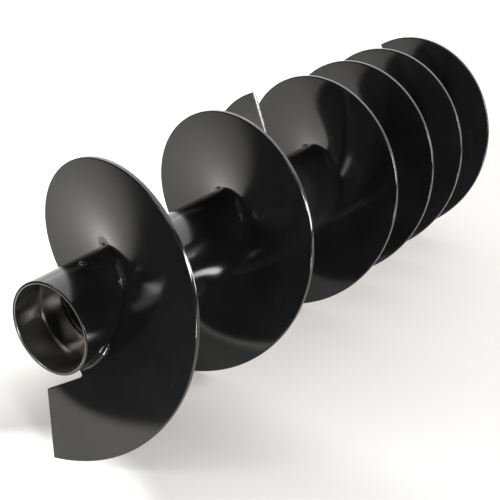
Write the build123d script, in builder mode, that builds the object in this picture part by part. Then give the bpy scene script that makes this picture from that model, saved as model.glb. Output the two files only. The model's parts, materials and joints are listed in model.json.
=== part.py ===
from build123d import *
from math import cos, radians, sin
import os

# Left-handed mixing and feeding screw. The axis lies along +Y, from the drive end's open mouth at the
# origin to the tail journal. X is to the right and Z up. Angles turn from +X towards +Z, and every
# flight moves along +Y as the angle grows.

# Driving dimensions, in millimetres and degrees.
flight_radius = 101.6
flight_thickness = 4.0
tube_radius = 35.0
tube_wall = 2.6
tube_length = 610.0
mouth_seat_depth = 25.0         # the mouth is turned out to seat the drive's collar
mouth_seat_step = 0.4

main_lead = 149.2
main_position = 32.5            # where the main flight's middle surface crosses angle 0 on turn 1
main_start_angle = -90.0
main_turns = 4
main_turn_angle = 360.0

second_lead = 145.7
second_position = 263.7         # the same for the second flight, one lead before its first full turn
second_start_angle = 110.0
second_turns = 2
second_turn_angle = 365.8

tube_gap = 0.2                  # between a ring's inner edge and the tube, which the welds bridge
seam_angle = 2.0
seam_crown = 0.25
seam_rim_step = 0.3

stitch_leg = 4.5
stitch_angle = 37.0
stitch_spacing = 90.0
stitch_centre = 54.0            # from a ring's start to the middle of its first front stitch
rear_stitch_shift = 45.0

toe_slot_direction = -65.0      # the way the slot's straight edge faces, seen along the axis
toe_slot_edge = 39.9
toe_slot_radius = 2.5
toe_slot_end = 2.8
toe_slot_reach = 60.0

sleeve_length = 18.5
sleeve_wall = 1.2
hub_thickness = 20.0
hub_bore_radius = 15.0
hub_weld_leg = 4.0
keyway_width = 8.0
keyway_depth = 3.3

plug_weld_position = 36.6
plug_weld_radius = 3.6
plug_weld_height = 2.4
plug_weld_angles = (88.5, 208.5, 328.5)

tail_hub_recess = 8.0
journal_root_radius = 18.0      # where the journal passes through the tail hub, up to its shoulder
journal_radius = 15.0
journal_length = 40.0
journal_chamfer = 1.5
journal_weld_leg = 5.0

# Sizes that follow from them.
tube_bore_radius = tube_radius - tube_wall
ring_inner_radius = tube_radius + tube_gap
half_thickness = flight_thickness / 2
tail_hub_end = tube_length - tail_hub_recess
tail_hub_start = tail_hub_end - hub_thickness
sleeve_end = mouth_seat_depth + sleeve_length
drive_hub_start = sleeve_end + hub_weld_leg

os.makedirs("parts", exist_ok=True)


def radial(angle):
    """Unit vector away from the axis at an angle."""
    return (cos(radians(angle)), 0, sin(radians(angle)))


def around(angle):
    """Unit vector along the turning direction at an angle."""
    return (-sin(radians(angle)), 0, cos(radians(angle)))


def axis_plane(angle, position):
    """Plane with its normal along the axis and its X axis away from it."""
    return Plane(origin=(0, position, 0), x_dir=radial(angle), z_dir=(0, 1, 0))


def section_plane(angle, position):
    """Plane that holds the axis: X is the distance from the axis and Y the distance along it."""
    return Plane(origin=(0, position, 0), x_dir=radial(angle), z_dir=around(angle))


def screw_sweep(corners, lead, zero_position, start_angle, turn_angle):
    """Carries a section, given as (radius, axial offset) corners, along the screw."""
    start_position = zero_position + lead * start_angle / 360
    helix = Edge.make_helix(lead, lead * turn_angle / 360, tube_radius, lefthand=True)
    with BuildSketch(section_plane(start_angle, start_position)) as section:
        with BuildLine():
            Polyline(*corners, close=True)
        make_face()
    sweep(section.sketch, path=helix.moved(axis_plane(start_angle, start_position).location), is_frenet=True)


def save(builder, name):
    """Labels a finished piece and writes it."""
    builder.part.label = name
    export_step(builder.part, f"parts/{name}.step")


# Core tube.
with BuildPart() as core_tube:
    with BuildSketch(axis_plane(0, 0)):
        Circle(tube_radius)
        Circle(tube_bore_radius, mode=Mode.SUBTRACT)
    extrude(amount=tube_length)
    with BuildSketch(axis_plane(0, 0)):
        Circle(tube_bore_radius + mouth_seat_step)
    extrude(amount=mouth_seat_depth, mode=Mode.SUBTRACT)
save(core_tube, "core_tube")


# Flights: each turn is one ring, pressed into a screw surface of even axial thickness.
ring_corners = [
    (ring_inner_radius, -half_thickness),
    (flight_radius, -half_thickness),
    (flight_radius, half_thickness),
    (ring_inner_radius, half_thickness),
]


def flight_ring(lead, zero_position, start_angle, turn_angle, first, last):
    """One ring, shortened by half a seam at each end that meets another ring."""
    from_start = 0 if first else seam_angle / 2
    from_end = 0 if last else seam_angle / 2
    screw_sweep(
        ring_corners,
        lead,
        zero_position,
        start_angle + from_start,
        turn_angle - from_start - from_end,
    )


for turn in range(main_turns):
    ring_start = main_start_angle + turn * main_turn_angle
    with BuildPart() as main_ring:
        flight_ring(main_lead, main_position, ring_start, main_turn_angle, turn == 0, turn == main_turns - 1)
        if turn == 0:
            # The toe is slotted clear of the tube, with a straight edge and a round end.
            with BuildSketch(Plane(origin=(0, 0, 0), x_dir=around(toe_slot_direction), z_dir=(0, 1, 0))):
                with Locations((toe_slot_end, toe_slot_edge - toe_slot_radius)):
                    Circle(toe_slot_radius)
                with Locations((toe_slot_end - toe_slot_reach, 0)):
                    Rectangle(toe_slot_reach, toe_slot_edge, align=(Align.MIN, Align.MIN))
            extrude(amount=main_lead / 2, both=True, mode=Mode.SUBTRACT)
    save(main_ring, f"main_flight_turn_{turn + 1}")

for turn in range(second_turns):
    ring_start = second_start_angle + turn * second_turn_angle
    with BuildPart() as second_ring:
        flight_ring(
            second_lead, second_position, ring_start, second_turn_angle, turn == 0, turn == second_turns - 1
        )
    save(second_ring, f"second_flight_turn_{turn + 1}")


# Seams: the butt weld that joins each ring to the next, a little proud of both faces.
seam_corners = [
    (ring_inner_radius, -half_thickness - seam_crown),
    (flight_radius - seam_rim_step, -half_thickness - seam_crown),
    (flight_radius - seam_rim_step, half_thickness + seam_crown),
    (ring_inner_radius, half_thickness + seam_crown),
]

for turn in range(1, main_turns):
    seam_start = main_start_angle + turn * main_turn_angle - seam_angle / 2
    with BuildPart() as main_seam:
        screw_sweep(seam_corners, main_lead, main_position, seam_start, seam_angle)
    save(main_seam, f"main_flight_seam_{turn}")

with BuildPart() as second_seam:
    seam_start = second_start_angle + second_turn_angle - seam_angle / 2
    screw_sweep(seam_corners, second_lead, second_position, seam_start, seam_angle)
save(second_seam, "second_flight_seam")


# Stitch welds: short fillets in front of each ring and, half a spacing on, behind it. Only the first ring,
# which takes the drive's load, has one at its start in front.
def stitch_corners(side):
    """Fillet section on the ring's front face (side -1) or rear face (side 1)."""
    face = side * half_thickness
    return [(tube_radius, face), (tube_radius + stitch_leg, face), (tube_radius, face + side * stitch_leg)]


def stitches(lead, zero_position, ring_start, turn_angle, first):
    """All the stitches of one ring."""
    count = int(turn_angle // stitch_spacing)
    for side, shift in ((-1, 0), (1, rear_stitch_shift)):
        for index in range(count):
            if side < 0 and index == 0 and not first:
                continue
            centre = ring_start + stitch_centre + shift + index * stitch_spacing
            if centre + stitch_angle / 2 > ring_start + turn_angle - seam_angle:
                continue
            screw_sweep(stitch_corners(side), lead, zero_position, centre - stitch_angle / 2, stitch_angle)


for turn in range(main_turns):
    with BuildPart() as main_weld:
        ring_start = main_start_angle + turn * main_turn_angle
        stitches(main_lead, main_position, ring_start, main_turn_angle, turn == 0)
    save(main_weld, f"main_flight_weld_{turn + 1}")

for turn in range(second_turns):
    with BuildPart() as second_weld:
        ring_start = second_start_angle + turn * second_turn_angle
        stitches(second_lead, second_position, ring_start, second_turn_angle, False)
    save(second_weld, f"second_flight_weld_{turn + 1}")


# Socket sleeve: centres the drive spigot behind the mouth's seat.
with BuildPart() as socket_sleeve:
    with BuildSketch(axis_plane(0, mouth_seat_depth)):
        Circle(tube_bore_radius)
        Circle(tube_bore_radius - sleeve_wall, mode=Mode.SUBTRACT)
    extrude(amount=sleeve_length)
save(socket_sleeve, "socket_sleeve")


# Plug welds: low round lumps that hold the sleeve through the tube wall.
with BuildPart() as sleeve_plug_welds:
    for angle in plug_weld_angles:
        cap_radius = (plug_weld_radius**2 + plug_weld_height**2) / (2 * plug_weld_height)
        cap_centre = tube_radius + plug_weld_height - cap_radius
        with Locations(Plane(
            origin=(cap_centre * radial(angle)[0], plug_weld_position, cap_centre * radial(angle)[2]),
            z_dir=radial(angle),
        )):
            Sphere(cap_radius)
    with BuildSketch(axis_plane(0, 0)):
        Circle(tube_radius)
    extrude(amount=tube_length, mode=Mode.SUBTRACT)
save(sleeve_plug_welds, "sleeve_plug_welds")


# Drive hub: a thick disc behind the sleeve, bored and keyed for the drive shaft.
with BuildPart() as drive_hub:
    with BuildSketch(axis_plane(0, drive_hub_start)):
        Circle(tube_bore_radius)
        Circle(hub_bore_radius, mode=Mode.SUBTRACT)
        with Locations((0, hub_bore_radius)):
            Rectangle(keyway_width, 2 * keyway_depth, mode=Mode.SUBTRACT)
    extrude(amount=hub_thickness)
save(drive_hub, "drive_hub")


def weld_ring(outer, position, leg, outward, side):
    """Ring fillet: its leg runs outwards or inwards from a cylinder, and along the axis to one side."""
    reach = leg if outward else -leg
    with BuildSketch(Plane.XY) as section:
        with BuildLine():
            Polyline(
                (outer, position),
                (outer + reach, position),
                (outer, position + side * leg),
                close=True,
            )
        make_face()
    revolve(section.sketch, axis=Axis.Y)


with BuildPart() as drive_hub_weld:
    weld_ring(tube_bore_radius, drive_hub_start, hub_weld_leg, False, -1)
save(drive_hub_weld, "drive_hub_weld")


# Tail hub: a solid disc that carries the journal and closes the far end.
with BuildPart() as tail_hub:
    with BuildSketch(axis_plane(0, tail_hub_start)):
        Circle(tube_bore_radius)
        Circle(journal_root_radius, mode=Mode.SUBTRACT)
    extrude(amount=hub_thickness)
save(tail_hub, "tail_hub")

with BuildPart() as tail_hub_weld:
    weld_ring(tube_bore_radius, tail_hub_end, hub_weld_leg, False, 1)
save(tail_hub_weld, "tail_hub_weld")


# Tail journal: the stub shaft that runs in the tail bearing, with a shoulder level with the tube's end.
with BuildPart() as tail_journal:
    with BuildSketch(axis_plane(0, tail_hub_start)):
        Circle(journal_root_radius)
    extrude(amount=tube_length - tail_hub_start)
    with BuildSketch(axis_plane(0, tube_length)):
        Circle(journal_radius)
    extrude(amount=journal_length)
    chamfer(tail_journal.edges().sort_by(Axis.Y)[-1], length=journal_chamfer)
save(tail_journal, "tail_journal")

with BuildPart() as tail_journal_weld:
    weld_ring(journal_root_radius, tail_hub_end, journal_weld_leg, True, 1)
save(tail_journal_weld, "tail_journal_weld")
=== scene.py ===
import json
from math import asin, atan, ceil, cos, degrees, floor, pi, radians, sin, tau

import bmesh
import bpy
import numpy as np
from mathutils import Matrix, Vector, noise


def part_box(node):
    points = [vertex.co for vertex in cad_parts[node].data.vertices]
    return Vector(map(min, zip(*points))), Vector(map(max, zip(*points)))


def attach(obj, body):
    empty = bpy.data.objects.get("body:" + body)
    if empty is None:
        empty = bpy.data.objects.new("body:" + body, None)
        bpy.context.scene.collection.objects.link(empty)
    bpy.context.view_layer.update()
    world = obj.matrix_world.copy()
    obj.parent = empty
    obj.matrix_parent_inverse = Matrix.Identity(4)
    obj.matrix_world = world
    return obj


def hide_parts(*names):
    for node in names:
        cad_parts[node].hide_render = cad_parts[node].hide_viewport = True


# A left-handed mixing screw, in metres, in the frame of its CAD model: the axis runs along +Y from the
# drive end's mouth at the origin, and angles turn from +X towards +Z. Each piece below replaces one plain
# CAD node with the same shape, its arrises rounded, its sheet a little wavy and its welds rippled.

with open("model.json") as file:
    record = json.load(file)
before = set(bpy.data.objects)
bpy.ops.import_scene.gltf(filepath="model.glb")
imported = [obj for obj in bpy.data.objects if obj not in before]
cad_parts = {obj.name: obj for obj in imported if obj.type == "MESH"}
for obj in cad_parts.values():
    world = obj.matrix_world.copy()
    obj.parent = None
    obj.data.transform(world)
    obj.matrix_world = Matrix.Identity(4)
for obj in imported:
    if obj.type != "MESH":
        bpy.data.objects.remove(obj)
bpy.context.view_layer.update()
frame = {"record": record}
mounts = {mount["name"]: mount for mount in frame["record"]["mounts"]}

MM = 0.001

# Sizes read from the frame.
tube_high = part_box("core_tube")[1]
sleeve_low, sleeve_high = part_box("socket_sleeve")
hub_low, hub_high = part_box("drive_hub")
tail_hub_low, tail_hub_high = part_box("tail_hub")
journal_low, journal_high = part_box("tail_journal")
tube_radius = tube_high.x
tube_length = tube_high.y
bore_radius = hub_high.x
flight_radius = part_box("main_flight_turn_2")[1].x
seat_radius = mounts["drive_mouth"]["dims"]["r_mm"] * MM
seat_depth = mounts["drive_mouth"]["dims"]["length_mm"] * MM
sleeve_bore = mounts["drive_sleeve"]["dims"]["r_mm"] * MM
hub_bore = mounts["drive_hub_bore"]["dims"]["r_mm"] * MM
journal_radius = mounts["tail_journal"]["dims"]["r_mm"] * MM
journal_root = journal_high.x

# Sizes and angles that no box gives, in metres and degrees.
sheet_thickness = 4 * MM
half_sheet = sheet_thickness / 2
ring_inner = tube_radius - 0.6 * MM     # the sheet's inner edge lies a little inside the tube's wall
main_start = -90
main_turns = 4
second_start = 110
second_turns = 2
second_turn = 365.8
seam_angle = 2
stitch_leg = 4.5 * MM
stitch_angle = 37
stitch_spacing = 90
stitch_centre = 54
rear_stitch_shift = 45
slot_direction = -65                    # the slot's straight edge is square to this direction
slot_edge = 39.9 * MM
slot_corner = 2.5 * MM
slot_end = 2.8 * MM
slot_rejoin = 35                        # where the columns round the slot are even again
hub_weld_leg = 4 * MM
journal_weld_leg = 5 * MM
keyway_half = 4 * MM
keyway_floor = hub_bore + 3.3 * MM
keyway_corner = degrees(atan(keyway_half / keyway_floor))
keyway_mouth = degrees(asin(keyway_half / hub_bore))
keyway_direction = -90
plug_angles = (88.5, 208.5, 328.5)
plug_radius = 3.6 * MM
plug_height = 2.4 * MM

# Fineness of the meshes, and the small shapes that the CAD leaves out.
column_step = 1.2               # degrees between a flight's columns
lathe_steps = 160
arris = 0.45 * MM
wave_height = 0.22 * MM         # how far the pressed sheet wanders from a true screw surface
buried = 0.5 * MM               # how far a weld bead reaches into the metal it lies on

# The edge distance that each point stores for the paint.
wear_limit = 20 * MM            # the most that is stored
painted_margin = 1.0 * MM       # added where an edge is painted, so that only nicks show metal
bare_margin = -1.5 * MM         # added where a cut edge is bare
turned_margin = -9 * MM         # stored on a bare turned surface


# Meshes

def add_piece(name, points, faces, material, node, edge_distance=None):
    mesh = bpy.data.meshes.new(name)
    mesh.from_pydata(points, [], faces)
    if edge_distance is None:
        edge_distance = np.full(len(points), wear_limit)
    attribute = mesh.attributes.new("edge_distance", "FLOAT", "POINT")
    attribute.data.foreach_set("value", np.asarray(edge_distance, np.float32))
    work = bmesh.new()
    work.from_mesh(mesh)
    bmesh.ops.remove_doubles(work, verts=work.verts, dist=1e-7)
    bmesh.ops.recalc_face_normals(work, faces=work.faces)
    work.to_mesh(mesh)
    work.free()
    mesh.shade_smooth()
    mesh.set_sharp_from_angle(angle=radians(50))
    mesh.materials.append(material)
    piece = bpy.data.objects.new(name, mesh)
    bpy.context.scene.collection.objects.link(piece)
    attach(piece, "root")
    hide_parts(node)


def loft_faces(loops, size, ring=False):
    """Quads between neighbouring closed loops of points. ring joins the last loop to the first."""
    faces = []
    for i in range(loops if ring else loops - 1):
        a, b = i * size, (i + 1) % loops * size
        for j in range(size):
            k = (j + 1) % size
            faces.append((a + j, a + k, b + k, b + j))
    return faces


def ladder_cap(first, size):
    """Quads across a loop whose second half mirrors its first."""
    return [
        (first + j, first + j + 1, first + size - 2 - j, first + size - 1 - j)
        for j in range(size // 2 - 1)
    ]


def polar(radius, angle, y):
    """A point from its distance to the axis, its angle in degrees and its place along the axis."""
    return (radius * cos(radians(angle)), y, radius * sin(radians(angle)))


def rough(x, y, z, scale):
    """Smooth repeatable noise, about -1 to 1, whose features are about 1 / scale metres wide."""
    return noise.noise(Vector((x, y, z)) * scale)


def rounded(corners, radius):
    """A closed outline with its corners rounded, and a point a little way along each side."""
    outline = []
    count = len(corners)
    steps = 3
    for i in range(count):
        corner = Vector(corners[i])
        before = Vector(corners[i - 1]) - corner
        after = Vector(corners[(i + 1) % count]) - corner
        reach = min(radius, 0.3 * before.length, 0.3 * after.length)
        before.normalize()
        after.normalize()
        outline.append(corner + before * reach * 1.6)
        for j in range(steps + 1):
            turn = j / steps
            outline.append(corner + before * reach * (1 - turn) ** 2 + after * reach * turn**2)
        outline.append(corner + after * reach * 1.6)
    return [tuple(point) for point in outline]


def lathe(name, outline_at, material, node, angles=None, edge_distance_at=None):
    """A solid turned about the axis. outline_at gives the closed (radius, y) outline at an angle."""
    angles = np.linspace(0, 360, lathe_steps, endpoint=False) if angles is None else angles
    points = []
    wear = []
    for angle in angles:
        outline = outline_at(angle)
        points += [polar(r, angle, y) for r, y in outline]
        wear += [edge_distance_at(r, y) if edge_distance_at else wear_limit for r, y in outline]
    faces = loft_faces(len(angles), len(outline), ring=True)
    add_piece(name, points, faces, material, node, wear)


# Flights

class Flight:
    """One helical surface: where it crosses each angle."""

    def __init__(self, node, start, turn):
        low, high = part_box(node)
        self.lead = (high.y - low.y - sheet_thickness) * 360 / turn
        self.zero = low.y + half_sheet - self.lead * start / 360

    def y(self, angle):
        return self.zero + self.lead * angle / 360


main_flight = Flight("main_flight_turn_2", main_start + 360 + seam_angle / 2, 360 - seam_angle)
second_flight = Flight("second_flight_turn_1", second_start, second_turn - seam_angle / 2)


def sheet_wave(x, y, z, angle):
    """How far the sheet stands off its screw surface, along the axis: nothing at the tube and the toe."""
    outward = max(0.0, (np.hypot(x, z) - tube_radius) / (flight_radius - tube_radius)) ** 1.5
    from_toe = min(1.0, (angle - main_start) / 60)
    return wave_height * outward * from_toe * (rough(x, y, z, 9) + 0.22 * rough(x, y, z, 31))


def rim_nick(angle, y):
    """How far the sheared rim falls short of its full radius: a little everywhere, and more in dents."""
    uneven = 0.03 * MM
    dent_depth = 0.5 * MM
    x, _, z = polar(flight_radius, angle, y)
    dent = max(0.0, rough(x, y, z, 70) - 0.52)
    return uneven * (1 + rough(x, y, z, 160)) + dent_depth * dent


def half_section():
    """Half of the sheet's section, from the inner edge to the rim, as (share, out, depth, face). A point
    lies a share of the way across between the arrises' centres, and some arrises further out. It lies a
    share of the way from the middle to those centres, named face, and some arrises deeper."""
    turns = [radians(a) for a in (0, 30, 60, 90)]
    shares = np.concatenate([[0.012], np.linspace(0.05, 0.95, 15), [0.985]])
    section = [(0, -1, 0, 0.35)]
    section += [(0, -cos(a), sin(a), 1) for a in turns]
    section += [(share, 0, 1, 1) for share in shares]
    section += [(1, sin(a), cos(a), 1) for a in turns]
    section += [(1, 1, 0, 0.35)]
    return section


FRONT_HALF = half_section()


def end_columns(angle, inner, direction):
    """Columns that round off a cut end, from the cut inwards. Each has the angle and the radius of its
    inner end, the angle of its outer end, and how far the sheet's edges and faces are drawn in there."""
    columns = []
    for a in (0, 30, 60, 90):
        along = arris * (1 - cos(radians(a)))
        inset = arris * (1 - sin(radians(a)))
        columns.append((
            angle + direction * degrees(along / inner),
            inner,
            angle + direction * degrees(along / flight_radius),
            inset,
        ))
    return columns


def toe_columns():
    """Columns of the toe, along its slot: a straight inner edge with a round end. At the rim they are a
    degree apart round the slot's end, and then spread until they are even again."""
    edge_turn = degrees(atan(slot_end / slot_edge))
    end_turn = degrees(atan((slot_end + slot_corner) / (slot_edge - slot_corner)))
    end_radius = np.hypot(slot_end + slot_corner, slot_edge - slot_corner)
    columns = []
    start_turn = main_start - slot_direction
    for turn in np.linspace(start_turn + 0.8, edge_turn, 24):
        columns.append((slot_direction + turn, slot_edge / cos(radians(turn)), slot_direction + turn, 0))
    rim_turn = edge_turn
    for a in np.linspace(75, 0, 6):
        side = slot_end + slot_corner * cos(radians(a))
        out = slot_edge - slot_corner + slot_corner * sin(radians(a))
        rim_turn += 1
        columns.append((
            slot_direction + degrees(atan(side / out)), np.hypot(side, out), slot_direction + rim_turn, 0
        ))
    for share in (0.35, 0.7, 1):
        rim_turn += 1
        inner = end_radius + (ring_inner - end_radius) * share
        columns.append((slot_direction + end_turn + 0.1 * share, inner, slot_direction + rim_turn, 0))
    for share in np.linspace(0, 1, 16)[1:]:
        inner_turn = end_turn + 0.1 + (slot_rejoin - end_turn - 0.1) * share
        outer_turn = rim_turn + (slot_rejoin - rim_turn) * share
        columns.append((slot_direction + inner_turn, ring_inner, slot_direction + outer_turn, 0))
    return columns


def ring_columns(start, end, toe):
    """All the columns of one ring, from its start to its end."""
    if toe:
        start_inner = slot_edge / cos(radians(main_start - slot_direction))
        columns = end_columns(start, start_inner, 1) + toe_columns()
    else:
        columns = end_columns(start, ring_inner, 1)
    first = columns[-1][0] + (column_step if toe else column_step / 2)
    last = end - 1
    for angle in np.linspace(first, last, ceil((last - first) / column_step)):
        columns.append((angle, ring_inner, angle, 0))
    return columns + end_columns(end, ring_inner, -1)[::-1]


def flight_ring(name, flight, start, end, material, toe=False, start_margin=None, end_margin=None):
    """One turn of sheet, with rounded arrises, a slightly uneven rim and a gentle wave. A margin is given
    for an end that is cut and not welded to another ring."""
    columns = ring_columns(start, end, toe)
    size = 2 * len(FRONT_HALF)
    points = []
    wear = []
    for inner_angle, inner, rim_angle, inset in columns:
        rim = flight_radius - inset - rim_nick(rim_angle, flight.y(rim_angle))
        low = inner + inset
        half = half_sheet - inset
        for side, section in ((-1, FRONT_HALF), (1, FRONT_HALF[::-1])):
            for share, out, depth, face in section:
                radius = low + arris + (rim - low - 2 * arris) * share + out * arris
                across = (radius - inner) / (flight_radius - inner)
                angle = inner_angle + (rim_angle - inner_angle) * across
                x, y, z = polar(radius, angle, flight.y(angle))
                y += sheet_wave(x, y, z, angle) + side * ((half - arris) * face + depth * arris)
                points.append((x, y, z))
                to_edge = rim - radius + painted_margin
                if toe and inner > ring_inner:
                    to_edge = min(to_edge, radius - low + painted_margin)
                if start_margin is not None:
                    to_edge = min(to_edge, radius * radians(angle - start) + start_margin)
                if end_margin is not None:
                    to_edge = min(to_edge, radius * radians(end - angle) + end_margin)
                wear.append(min(to_edge, wear_limit))
    faces = loft_faces(len(columns), size)
    faces += ladder_cap(0, size) + ladder_cap((len(columns) - 1) * size, size)
    add_piece(name, points, faces, material, name.replace("_sheet", ""), wear)


def flight_seam(name, flight, angle, material):
    """The butt weld between two rings: a low rippled crown on both faces, sunk into them at its sides."""
    overlap = 0.8 * MM
    crown_height = 0.09 * MM
    crown_fade = 1.5 * MM
    ripple_height = 0.012 * MM
    ripple_pitch = 1.7 * MM
    sunk = 0.08 * MM
    short_of_rim = 0.35 * MM
    radii = np.linspace(ring_inner, flight_radius - short_of_rim, 90)
    across = np.linspace(-1, 1, 9)
    points = []
    for radius in radii:
        half_width = radius * radians(seam_angle / 2) + overlap
        end_fade = min(1, (flight_radius - radius) / crown_fade)
        for side in (-1, 1):
            for share in across * -side:
                at = angle + degrees(share * half_width / radius)
                x, y, z = polar(radius, at, flight.y(at))
                ripple = ripple_height * sin(tau * (radius / ripple_pitch - 0.4 * share**2))
                crown = (crown_height * end_fade + ripple) * cos(share * pi / 2) - sunk * share**2
                y += sheet_wave(x, y, z, at) + side * (half_sheet + crown)
                points.append((x, y, z))
    size = 2 * len(across)
    faces = loft_faces(len(radii), size)
    faces += ladder_cap(0, size) + ladder_cap((len(radii) - 1) * size, size)
    add_piece(name, points, faces, material, name.replace("_bead", ""))


# Welds

def bead_mesh(corner_at, length, leg, outward, side, seed, closed=False):
    """A rippled fillet bead. corner_at gives the corner's (radius, angle, y) at a distance along it.
    outward is +1 where the bead stands away from the axis, and side is the way along Y. A bead that isn't
    closed tapers at its ends."""
    pitch = 1.75 * MM
    per_ripple = 7
    ripples = max(3, round(length / pitch))
    count = ripples * per_ripple + (0 if closed else 1)
    across = np.linspace(0, 1, 11)
    bulge = 0.2 * leg
    ripple = 0.035 * leg
    toe_dip = 0.02 * leg
    slant = 0.71                # the bead's face slopes at 45 degrees
    back = 0.8                  # where along each leg the bead turns into the metal
    points = []
    for i in range(count):
        share = i / (ripples * per_ripple)
        radius, angle, y = corner_at(share * length)
        x0, y0, z0 = polar(radius, angle, y)
        size = leg * (0.82 + 0.14 * rough(x0, y0 + seed, z0, 170))
        if not closed:
            to_end = min(share, 1 - share) * length
            size *= 0.15 + 0.85 * min(1, (to_end / (1.4 * leg)) ** 0.7)
        for t in across:
            crescent = 0.55 * (2 * t - 1) ** 2
            phase = share * ripples + crescent
            step = (abs(sin(pi * phase)) - 0.5) * (0.7 + 0.6 * rough(floor(phase), seed, 0, 0.73))
            x, yy, z = polar(radius, angle, y + t * leg)
            lump = ripple * rough(x, yy + seed, z, 260)
            swell = (bulge + lump + ripple * step) * sin(pi * t) - toe_dip
            up = size * t + swell * slant
            along = size * (1 - t) + swell * slant
            points.append(polar(radius + outward * up, angle, y + side * along))
        points.append(polar(radius + outward * back * size, angle, y - side * buried))
        points.append(polar(radius - outward * buried, angle, y - side * buried))
        points.append(polar(radius - outward * buried, angle, y + side * back * size))
    size = len(across) + 3
    faces = loft_faces(count, size, ring=closed)
    if not closed:
        faces += [tuple(range(size)), tuple(range((count - 1) * size, count * size))]
    return points, faces


def merge(parts):
    """One list of points and faces from several."""
    points, faces = [], []
    for part_points, part_faces in parts:
        first = len(points)
        points += part_points
        faces += [tuple(first + v for v in face) for face in part_faces]
    return points, faces


def stitch_welds(name, flight, start, turn, from_start, material):
    """All the stitches of one ring: on its front face, and half a spacing on behind it. In front, only a
    ring that is stitched from its start has the first of them."""
    parts = []
    for side, shift in ((-1, 0), (1, rear_stitch_shift)):
        skipped = 0 if from_start or side > 0 else 1
        for index in range(skipped, int(turn // stitch_spacing)):
            centre = start + stitch_centre + shift + index * stitch_spacing
            if centre + stitch_angle / 2 > start + turn - seam_angle:
                continue
            unevenness = rough(centre, side, flight.zero, 1.37)
            angle_span = stitch_angle * (1 + 0.05 * unevenness)
            first_angle = centre - angle_span / 2 + 0.6 * unevenness

            def corner_at(distance):
                angle = first_angle + degrees(distance / tube_radius)
                return tube_radius, angle, flight.y(angle) + side * half_sheet

            length = tube_radius * radians(angle_span)
            parts.append(bead_mesh(corner_at, length, stitch_leg, 1, side, seed=centre))
    points, faces = merge(parts)
    add_piece(name, points, faces, material, name.replace("_bead", ""))


def ring_weld(name, node, radius, y, leg, outward, side, material):
    """A weld bead all the way round a corner."""
    def corner_at(distance):
        return radius, degrees(distance / radius), y

    points, faces = bead_mesh(corner_at, tau * radius, leg, outward, side, seed=y, closed=True)
    add_piece(name, points, faces, material, node)


def plug_welds(name, node, material):
    """Low round weld lumps on the tube, each with a dimpled crown and a rippled skirt."""
    low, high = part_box(node)
    middle = (low.y + high.y) / 2
    ripple = 0.1 * MM
    dimple = 0.35 * MM
    skirt_depth = 0.4 * MM
    rings, spokes = 12, 30
    parts = []
    for angle in plug_angles:
        points = []
        for i in range(rings + 1):
            share = i / rings
            for j in range(spokes):
                way = tau * j / spokes
                reach = plug_radius * share * (1 + 0.06 * sin(2 * way + angle) + 0.04 * sin(5 * way))
                height = plug_height * (1 - share**2.6) + ripple * sin(share * 3.5 * tau + way)
                height -= dimple * max(0, 1 - share / 0.3)
                at = angle + degrees(reach * sin(way) / tube_radius)
                lift = height if i < rings else -skirt_depth
                points.append(polar(tube_radius + lift, at, middle + reach * cos(way)))
        faces = loft_faces(rings + 1, spokes)
        faces += [tuple(range(spokes)), tuple(range(rings * spokes, (rings + 1) * spokes))]
        parts.append((points, faces))
    points, faces = merge(parts)
    add_piece(name, points, faces, material, node)


# Materials

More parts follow.
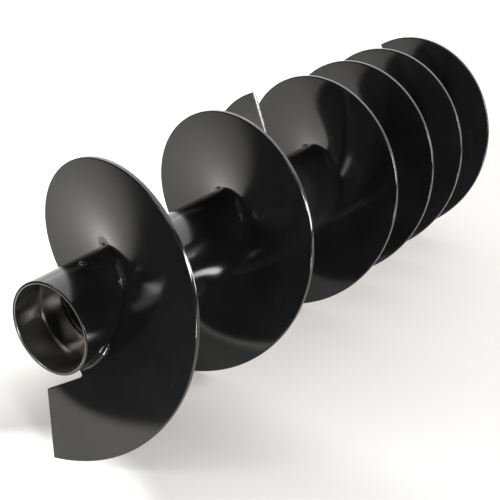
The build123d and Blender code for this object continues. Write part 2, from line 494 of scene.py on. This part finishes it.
class Nodes:
    """A material's node tree, with short calls to add to it."""

    def __init__(self, name):
        self.material = bpy.data.materials.new(name)
        self.material.use_nodes = True
        self.tree = self.material.node_tree
        self.shader = self.tree.nodes["Principled BSDF"]

    def add(self, kind, output=0, settings=None, **inputs):
        """Adds a node, and gives one of its outputs. settings are the node's own properties. An input is
        named in small letters, or in0, in1 for one that is known by its place."""
        made = self.tree.nodes.new(kind)
        for key, value in (settings or {}).items():
            setattr(made, key, value)
        for key, value in inputs.items():
            numbered = key[:2] == "in" and key[2:].isdigit()
            socket = made.inputs[int(key[2:]) if numbered else key.replace("_", " ").title()]
            self.set(socket, value)
        return made.outputs[output]

    def set(self, socket, value):
        if isinstance(value, bpy.types.NodeSocket):
            self.tree.links.new(value, socket)
        else:
            socket.default_value = value

    def math(self, operation, a, b=0.0, c=0.0):
        return self.add("ShaderNodeMath", settings={"operation": operation}, in0=a, in1=b, in2=c)

    def times(self, a, b):
        return self.math("MULTIPLY", a, b)

    def mix(self, factor, a, b):
        """A colour between two."""
        return self.add("ShaderNodeMix", 2, {"data_type": "RGBA"}, in0=factor, in6=a, in7=b)

    def blend(self, factor, a, b):
        """A number between two."""
        return self.add("ShaderNodeMix", in0=factor, in2=a, in3=b)

    def between(self, value, low, high, to_low=0.0, to_high=1.0):
        """Carries a value smoothly from one range to another, and holds it there."""
        settings = {"interpolation_type": "SMOOTHSTEP"}
        return self.add(
            "ShaderNodeMapRange", settings=settings,
            value=value, from_min=low, from_max=high, to_min=to_low, to_max=to_high,
        )

    def noise(self, scale, detail=3.0, roughness=0.5, vector=None):
        vector = self.coordinates() if vector is None else vector
        return self.add(
            "ShaderNodeTexNoise", vector=vector, scale=scale, detail=detail, roughness=roughness,
        )

    def coordinates(self):
        return self.add("ShaderNodeTexCoord", output=3)

    def separate(self, vector):
        """A vector's X, Y and Z."""
        made = self.tree.nodes.new("ShaderNodeSeparateXYZ")
        self.set(made.inputs[0], vector)
        return made.outputs

    def from_axis(self):
        """A point's X, Y and Z, and its distance to the screw's axis."""
        x, y, z = self.separate(self.coordinates())
        squares = self.math("ADD", self.math("POWER", x, 2.0), self.math("POWER", z, 2.0))
        return x, y, z, self.math("SQRT", squares)

    def around_axis(self, around, along, outward):
        """Coordinates laid round the screw's axis, each stretched by its own amount."""
        x, y, z, radius = self.from_axis()
        return self.add(
            "ShaderNodeCombineXYZ",
            in0=self.times(self.math("ARCTAN2", z, x), around * flight_radius),
            in1=self.times(y, along),
            in2=self.times(radius, outward),
        )

    def bump(self, height, distance, normal=None):
        inputs = {"height": height, "distance": distance, "strength": 1.0}
        if normal is not None:
            inputs["normal"] = normal
        return self.add("ShaderNodeBump", **inputs)

    def finish(self, **inputs):
        """Sets the shader's sockets, named in small letters, and gives the material."""
        known = {"ior": "IOR", "specular_level": "Specular IOR Level"}
        for key, value in inputs.items():
            socket = known.get(key, key.replace("_", " ").title())
            self.set(self.shader.inputs[socket], value)
        return self.material


def grey(value, warmth=0.0):
    """A grey, made redder and less blue by a share."""
    return (value * (1 + warmth), value, value * (1 - warmth), 1.0)


def painted_fill_lift(n, cloud):
    """How much painted fill light lies on the paint, as a lighter grey that lifts the shade: on the tube
    between the far flights, and on everything towards the tail."""
    _, y, _, radius = n.from_axis()
    on_tube = n.between(radius, 0.36 * flight_radius, 0.46 * flight_radius, 0.4, 0)
    on_tube = n.times(on_tube, n.between(y, 1.4 * flight_radius, 3.2 * flight_radius))
    by_tail = n.between(y, 3.5 * flight_radius, 5.5 * flight_radius, 0, 0.35)
    return n.times(n.math("MAXIMUM", on_tube, by_tail), n.math("MULTIPLY_ADD", cloud, 0.8, 0.6))


def paint_material(name, peel):
    """Gloss black enamel over steel: orange peel, dust, a painted fill light that lightens the far parts,
    fine scratches, and bare metal where an edge is worn or cut, or where a surface was turned."""
    n = Nodes(name)
    cloud = n.noise(14, 4, 0.6)
    upward = n.separate(n.add("ShaderNodeNewGeometry", output=1))[2]
    dust = n.times(n.between(cloud, 0.42, 0.75), n.between(n.noise(900, 2, 0.7), 0.35, 0.8))
    dust = n.times(dust, n.math("MULTIPLY_ADD", n.between(upward, 0, 1), 0.7, 0.3))
    scratch_lines = n.noise(1, 4, 0.6, vector=n.around_axis(25, 25, 1600))
    scratches = n.times(n.between(scratch_lines, 0.66, 0.74), n.between(n.noise(22, 2), 0.5, 0.65))

    # Where the metal is bare, where it was turned, and where it was cut.
    distance = n.add("ShaderNodeAttribute", output=2, settings={"attribute_name": "edge_distance"})
    ragged = n.math("MULTIPLY_ADD", n.noise(240, 4, 0.65), 1.4 * MM, distance)
    patchy = n.math("MULTIPLY_ADD", n.noise(30, 2, 0.5), 1.2 * MM, ragged)
    bare = n.between(patchy, 1.25 * MM, 1.45 * MM, 1.0, 0.0)
    turned = n.between(distance, -7 * MM, -4 * MM, 1, 0)
    scored = n.math("SUBTRACT", bare, turned)

    shear = n.noise(1, 3, 0.6, vector=n.around_axis(1500, 120, 120))
    sheared = n.mix(n.between(shear, 0.3, 0.7), grey(0.20, 0.01), grey(0.38, 0.01))
    oiled = n.mix(n.between(cloud, 0.3, 0.7), grey(0.25, 0.03), grey(0.40, 0.03))
    steel = n.mix(n.times(turned, 0.75), sheared, oiled)
    paint = n.mix(n.between(cloud, 0.3, 0.7), grey(0.004), grey(0.0065))
    # Painted fill light: a lighter grey laid over the paint where the far parts lie in shade.
    paint = n.mix(painted_fill_lift(n, cloud), paint, grey(0.035, 0.02))
    paint = n.mix(n.times(dust, 0.35), paint, grey(0.05, 0.06))
    paint = n.mix(n.times(scratches, 0.3), paint, grey(0.08))

    gloss = n.math("MULTIPLY_ADD", n.noise(45, 3, 0.55), 0.05, 0.09)
    gloss = n.math("MULTIPLY_ADD", dust, 0.18, gloss)
    gloss = n.math("MULTIPLY_ADD", scratches, 0.15, gloss)
    worn = n.blend(
        turned, n.math("MULTIPLY_ADD", shear, 0.2, 0.34), n.math("MULTIPLY_ADD", cloud, 0.2, 0.13)
    )

    height = n.math("MULTIPLY_ADD", n.noise(380, 2, 0.5), peel, n.times(n.noise(60, 2), 6 * peel))
    relief = n.bump(n.times(height, n.math("MULTIPLY_ADD", turned, -0.9, 1)), 1.0)
    relief = n.bump(n.times(bare, -0.06 * MM), 1.0, relief)
    relief = n.bump(n.times(shear, n.times(scored, 0.03 * MM)), 1.0, relief)
    return n.finish(
        base_color=n.mix(bare, paint, steel), roughness=n.blend(bare, gloss, worn), metallic=bare,
        normal=relief, ior=1.52, specular_level=0.5,
    )


def weld_material(name):
    """The same enamel over weld metal: lumpier, a little greyer and uneven in its gloss, with dust."""
    n = Nodes(name)
    dust = n.times(n.between(n.noise(30, 4, 0.6), 0.45, 0.75), n.between(n.noise(700, 3, 0.6), 0.4, 0.8))
    paint = n.mix(n.between(n.noise(160, 3), 0.35, 0.7), grey(0.007), grey(0.012))
    paint = n.mix(n.times(dust, 0.5), paint, grey(0.06, 0.08))
    gloss = n.math("MULTIPLY_ADD", n.noise(220, 3), 0.12, 0.12)
    gloss = n.math("MULTIPLY_ADD", dust, 0.2, gloss)
    height = n.math("MULTIPLY_ADD", n.noise(600, 2), 0.009 * MM, n.times(n.noise(1800, 2), 0.002 * MM))
    return n.finish(
        base_color=paint, roughness=gloss, normal=n.bump(height, 1.0), ior=1.52, specular_level=0.5,
    )


def machined_material(name):
    """Turned steel: fine rings from the tool, and a few darker stains."""
    n = Nodes(name)
    rings = n.noise(1, 2, 0.6, vector=n.around_axis(6, 5200, 5200))
    stains = n.between(n.noise(70, 5, 0.65), 0.45, 0.72)
    steel = n.mix(rings, grey(0.36, 0.01), grey(0.50, 0.02))
    steel = n.mix(n.times(stains, 0.6), steel, grey(0.14, 0.10))
    gloss = n.math("MULTIPLY_ADD", rings, 0.12, 0.12)
    gloss = n.math("MULTIPLY_ADD", stains, 0.12, gloss)
    return n.finish(
        base_color=steel, roughness=gloss, metallic=1.0, normal=n.bump(rings, 0.012 * MM),
    )


black_paint = paint_material("black_paint", 0.0022 * MM)
painted_weld = weld_material("painted_weld")
machined_steel = machined_material("machined_steel")


# The screw's pieces

def ring_ends(start, full_turn, turn, turns):
    """Where one ring starts and ends, leaving room for the seams to the rings beside it."""
    gap = seam_angle / 2
    ring_start = start + full_turn * turn + (gap if turn > 0 else 0)
    ring_end = start + full_turn * (turn + 1) - (gap if turn < turns - 1 else 0)
    return ring_start, ring_end


for turn in range(main_turns):
    ring_start, ring_end = ring_ends(main_start, 360, turn, main_turns)
    first_ring = turn == 0
    flight_ring(
        f"main_flight_turn_{turn + 1}_sheet", main_flight, ring_start, ring_end, black_paint,
        toe=first_ring,
        start_margin=painted_margin if first_ring else None,
        end_margin=painted_margin if turn == main_turns - 1 else None,
    )
    seam_at = main_start + 360 * turn
    stitch_welds(
        f"main_flight_weld_{turn + 1}_bead", main_flight, seam_at, 360, first_ring, painted_weld
    )
    if not first_ring:
        flight_seam(f"main_flight_seam_{turn}_bead", main_flight, seam_at, painted_weld)

for turn in range(second_turns):
    ring_start, ring_end = ring_ends(second_start, second_turn, turn, second_turns)
    flight_ring(
        f"second_flight_turn_{turn + 1}_sheet", second_flight, ring_start, ring_end, black_paint,
        start_margin=bare_margin if turn == 0 else None,
        end_margin=painted_margin if turn == second_turns - 1 else None,
    )
    stitch_welds(
        f"second_flight_weld_{turn + 1}_bead", second_flight, second_start + second_turn * turn,
        second_turn, False, painted_weld,
    )
flight_seam("second_flight_seam_bead", second_flight, second_start + second_turn, painted_weld)


def always(outline):
    """Gives lathe the same outline at every angle."""
    return lambda angle: outline


def tube_outline():
    """The tube's wall, with the mouth's turned seat."""
    corners = [
        (tube_radius, 0), (tube_radius, tube_length), (bore_radius, tube_length),
        (bore_radius, seat_depth), (seat_radius, seat_depth), (seat_radius, 0),
    ]
    return rounded(corners, 0.5 * MM)


def sleeve_outline():
    corners = [
        (bore_radius, sleeve_low.y), (bore_radius, sleeve_high.y),
        (sleeve_bore, sleeve_high.y), (sleeve_bore, sleeve_low.y),
    ]
    return rounded(corners, 0.1 * MM)


def hub_inner(angle):
    """The hub bore's radius at an angle, with the keyway at the bottom."""
    off_key = abs((angle - keyway_direction + 180) % 360 - 180)
    if off_key <= keyway_corner:
        return keyway_floor / cos(radians(off_key))
    if off_key < keyway_mouth:
        return keyway_half / sin(radians(off_key))
    return hub_bore


def hub_outline(angle):
    inner = hub_inner(angle)
    corners = [
        (bore_radius, hub_low.y), (bore_radius, hub_high.y), (inner, hub_high.y), (inner, hub_low.y),
    ]
    return rounded(corners, 0.8 * MM)


def hub_angles():
    """Even steps, with the keyway's corners added and a column close beside each."""
    corners = (keyway_corner - 0.3, keyway_corner, keyway_corner + 0.3, keyway_mouth - 0.2, keyway_mouth)
    extra = [keyway_direction + side * corner for side in (-1, 1) for corner in corners]
    return sorted(set(np.linspace(-180, 180, lathe_steps, endpoint=False)) | set(extra))


def tail_hub_outline():
    corners = [
        (bore_radius, tail_hub_low.y), (bore_radius, tail_hub_high.y),
        (journal_root, tail_hub_high.y), (journal_root, tail_hub_low.y),
    ]
    return rounded(corners, 0.8 * MM)


def journal_outline():
    """The stub shaft: root, shoulder, bearing seat, chamfered nose and centre hole."""
    chamfer = 1.5 * MM
    centre_hole = 2.5 * MM
    end = journal_high.y
    corners = [
        (0, journal_low.y), (journal_root, journal_low.y), (journal_root, tube_length),
        (journal_radius, tube_length), (journal_radius, end - chamfer), (journal_radius - chamfer, end),
        (centre_hole, end), (0, end - 1.7 * centre_hole),
    ]
    return [(max(0.0, r), y) for r, y in rounded(corners, 0.35 * MM)]


def tube_wear(radius, y):
    """The tube's ends are rubbed a little, and the mouth's turned seat is bare."""
    if radius < seat_radius + 0.6 * MM and y < seat_depth - 0.1 * MM:
        return turned_margin
    return min(wear_limit, abs(y), tube_length - y) + painted_margin


def sleeve_wear(radius, y):
    """The sleeve's bore is bare, and the rest of it painted."""
    in_bore = radius < sleeve_bore + 0.2 * MM and y > sleeve_low.y + 0.08 * MM
    return turned_margin if in_bore else wear_limit


lathe(
    "core_tube_shell", always(tube_outline()), black_paint, "core_tube",
    edge_distance_at=tube_wear,
)
lathe(
    "socket_sleeve_ring", always(sleeve_outline()), black_paint, "socket_sleeve",
    edge_distance_at=sleeve_wear,
)
lathe(
    "drive_hub_disc", hub_outline, machined_steel, "drive_hub", angles=hub_angles()
)
lathe("tail_hub_disc", always(tail_hub_outline()), black_paint, "tail_hub")
lathe("tail_journal_shaft", always(journal_outline()), machined_steel, "tail_journal")
plug_welds("sleeve_plug_weld_lumps", "sleeve_plug_welds", painted_weld)
ring_weld(
    "drive_hub_weld_bead", "drive_hub_weld", bore_radius, hub_low.y, hub_weld_leg, -1, -1, painted_weld
)
ring_weld(
    "tail_hub_weld_bead", "tail_hub_weld", bore_radius, tail_hub_high.y, hub_weld_leg, -1, 1, painted_weld
)
ring_weld(
    "tail_journal_weld_bead", "tail_journal_weld", journal_root, tail_hub_high.y, journal_weld_leg, 1, 1,
    painted_weld,
)


# Stage: a pale floor that fades out at its edges, in a dim room with a white backdrop. The paint mirrors
# all of it; the floor's glow is painted light, in bright pools and bands, with painted shade under the
# screw.

def floor_material():
    """The floor's fade and its glow, which is painted light and shade, laid out in multiples of the
    flight's radius.
    """
    n = Nodes("pale_floor")
    across, along = (n.math("DIVIDE", part, flight_radius) for part in n.separate(n.coordinates())[:2])
    place = n.add("ShaderNodeCombineXYZ", in0=across, in1=along)

    def patch(centre, inner, outer, bright):
        """A round pool of painted light, with a soft edge from one radius to another."""
        away = n.add(
            "ShaderNodeVectorMath", output=1, settings={"operation": "DISTANCE"}, in0=place, in1=centre
        )
        return n.between(away, inner, outer, bright, 0.1)

    # The front edge runs a little slantwise, and fades out over a longer way further to the left.
    reach = n.math("MAXIMUM", n.math("MULTIPLY_ADD", across, -0.16, 0.3), 0.35)
    inside = n.math("ADD", n.math("MULTIPLY_ADD", across, -0.085, 1.4), along)
    shown = n.times(n.between(n.math("DIVIDE", inside, reach), -1, 1), n.between(along, 8, 13, 1, 0))
    sides = n.times(n.between(across, 6, 12, 1, 0), n.between(across, -19, -13, 0, 1))
    # Painted light and shade in the floor's glow: brighter to the left, dim under the front of the screw
    # as painted shade, and round pools of painted light in front of the mouth and to its front right.
    left = n.times(n.between(across, 0.1, -1.6), n.between(along, -1.0, 2.0, 0.6, 1.05))
    under = n.between(along, 0.6, 1.4, 0.1, 0.3)
    painted_light_glow = n.math("MAXIMUM", patch((0.1, -1.0, 0), 0.8, 1.35, 1.25), n.math("MAXIMUM", left, under))
    painted_light_glow = n.math("MAXIMUM", painted_light_glow, patch((1.6, -1.6, 0), 0.5, 1.1, 0.9))
    return n.finish(
        base_color=grey(0.55, 0.02), roughness=0.7, specular_level=0.0, alpha=n.times(shown, sides),
        emission_color=grey(0.97, 0.035), emission_strength=painted_light_glow,
    )


def floor_stage():
    """The floor, just under the lowest rim."""
    low = Vector((-20, -6)) * flight_radius
    high = Vector((30, 14)) * flight_radius
    level = -flight_radius - 0.2 * MM
    corners = [(low.x, low.y), (high.x, low.y), (high.x, high.y), (low.x, high.y)]
    mesh = bpy.data.meshes.new("floor")
    mesh.from_pydata([(x, y, level) for x, y in corners], [], [(0, 1, 2, 3)])
    mesh.materials.append(floor_material())
    ground = bpy.data.objects.new("floor", mesh)
    bpy.context.scene.collection.objects.link(ground)


def soft_box(name, centre, target, width, height, radiance):
    """An even rectangular light that the camera doesn't see, placed and aimed in multiples of the
    flight's radius."""
    light = bpy.data.lights.new(name, "AREA")
    light.shape = "RECTANGLE"
    light.size = width * flight_radius
    light.size_y = height * flight_radius
    light.energy = radiance * pi * light.size * light.size_y
    lamp = bpy.data.objects.new(name, light)
    lamp.location = Vector(centre) * flight_radius
    aim = (Vector(target) - Vector(centre)).to_track_quat("-Z", "Y")
    lamp.rotation_euler = aim.to_euler()
    lamp.visible_camera = False
    bpy.context.scene.collection.objects.link(lamp)


def aimed_box(name, azimuth, elevation, distance, width, height, radiance, target=(0, 1.5, 0)):
    """A soft box that its target sees at an azimuth, from +Y towards +X, and an elevation."""
    a, e = radians(azimuth), radians(elevation)
    way = Vector((sin(a) * cos(e), cos(a) * cos(e), sin(e)))
    soft_box(name, Vector(target) + way * distance, target, width, height, radiance)


def backdrop():
    """White where the camera looks past the floor, and a dim room for everything else."""
    world = bpy.data.worlds.new("studio")
    world.use_nodes = True
    tree = world.node_tree
    tree.nodes.clear()
    seen = tree.nodes.new("ShaderNodeLightPath")
    room = tree.nodes.new("ShaderNodeBackground")
    white = tree.nodes.new("ShaderNodeBackground")
    mix = tree.nodes.new("ShaderNodeMixShader")
    out = tree.nodes.new("ShaderNodeOutputWorld")
    room.inputs["Color"].default_value = grey(0.09)
    white.inputs["Color"].default_value = grey(1.0)
    white.inputs["Strength"].default_value = 1.2
    tree.links.new(seen.outputs["Is Camera Ray"], mix.inputs[0])
    tree.links.new(room.outputs[0], mix.inputs[1])
    tree.links.new(white.outputs[0], mix.inputs[2])
    tree.links.new(mix.outputs[0], out.inputs[0])
    bpy.context.scene.world = world


floor_stage()
backdrop()

# Centre, target, width, height and radiance.
soft_box("rear_wall_light", (-8, 14, 3.5), (-8, 0, 3.5), 32, 9, 1.3)
soft_box("rear_top_light", (-8, 14, 14), (-8, 0, 8), 32, 12, 2.0)
soft_box("front_right_lamp", (4.4, -2.2, 0.25), (0.5, 1.7, -0.2), 0.8, 0.8, 150)

# Azimuth, elevation, distance, width, height and radiance, and the target where it isn't the default.
by_mouth = (0.2, 0.1, 0.3)
aimed_box("right_rear_lamp", 39, 7, 13, 2.0, 3.5, 16)
aimed_box("right_side_lamp", 52, 22, 13, 3.0, 3.0, 40)
aimed_box("front_left_lamp", -154, 45.5, 2.7, 0.9, 0.42, 22, by_mouth)
aimed_box("front_overhead_box", 180, 50, 3.2, 2.3, 0.5, 7, by_mouth)
aimed_box("left_side_strip", -126, 15, 14, 0.9, 3.4, 2.0, (0.4, 3.4, 0.3))


def photo_camera():
    """The camera stands in front, to the right and above, in multiples of the flight's radius."""
    stand = Vector((4.280, -4.013, 3.062)) * flight_radius
    forward = Vector((-0.5065, 0.7648, -0.3987)).normalized()
    right = forward.cross(Vector((0, 0, 1))).normalized()
    up = right.cross(forward)
    lens = bpy.data.cameras.new("camera")
    lens.lens = 69.14
    lens.sensor_width = 36
    lens.clip_start = 0.01
    camera = bpy.data.objects.new("camera", lens)
    camera.matrix_world = Matrix((
        (right.x, up.x, -forward.x, stand.x),
        (right.y, up.y, -forward.y, stand.y),
        (right.z, up.z, -forward.z, stand.z),
        (0, 0, 0, 1),
    ))
    bpy.context.scene.collection.objects.link(camera)
    bpy.context.scene.camera = camera


photo_camera()
bpy.context.scene.view_settings.view_transform = "Standard"

bpy.context.view_layer.update()
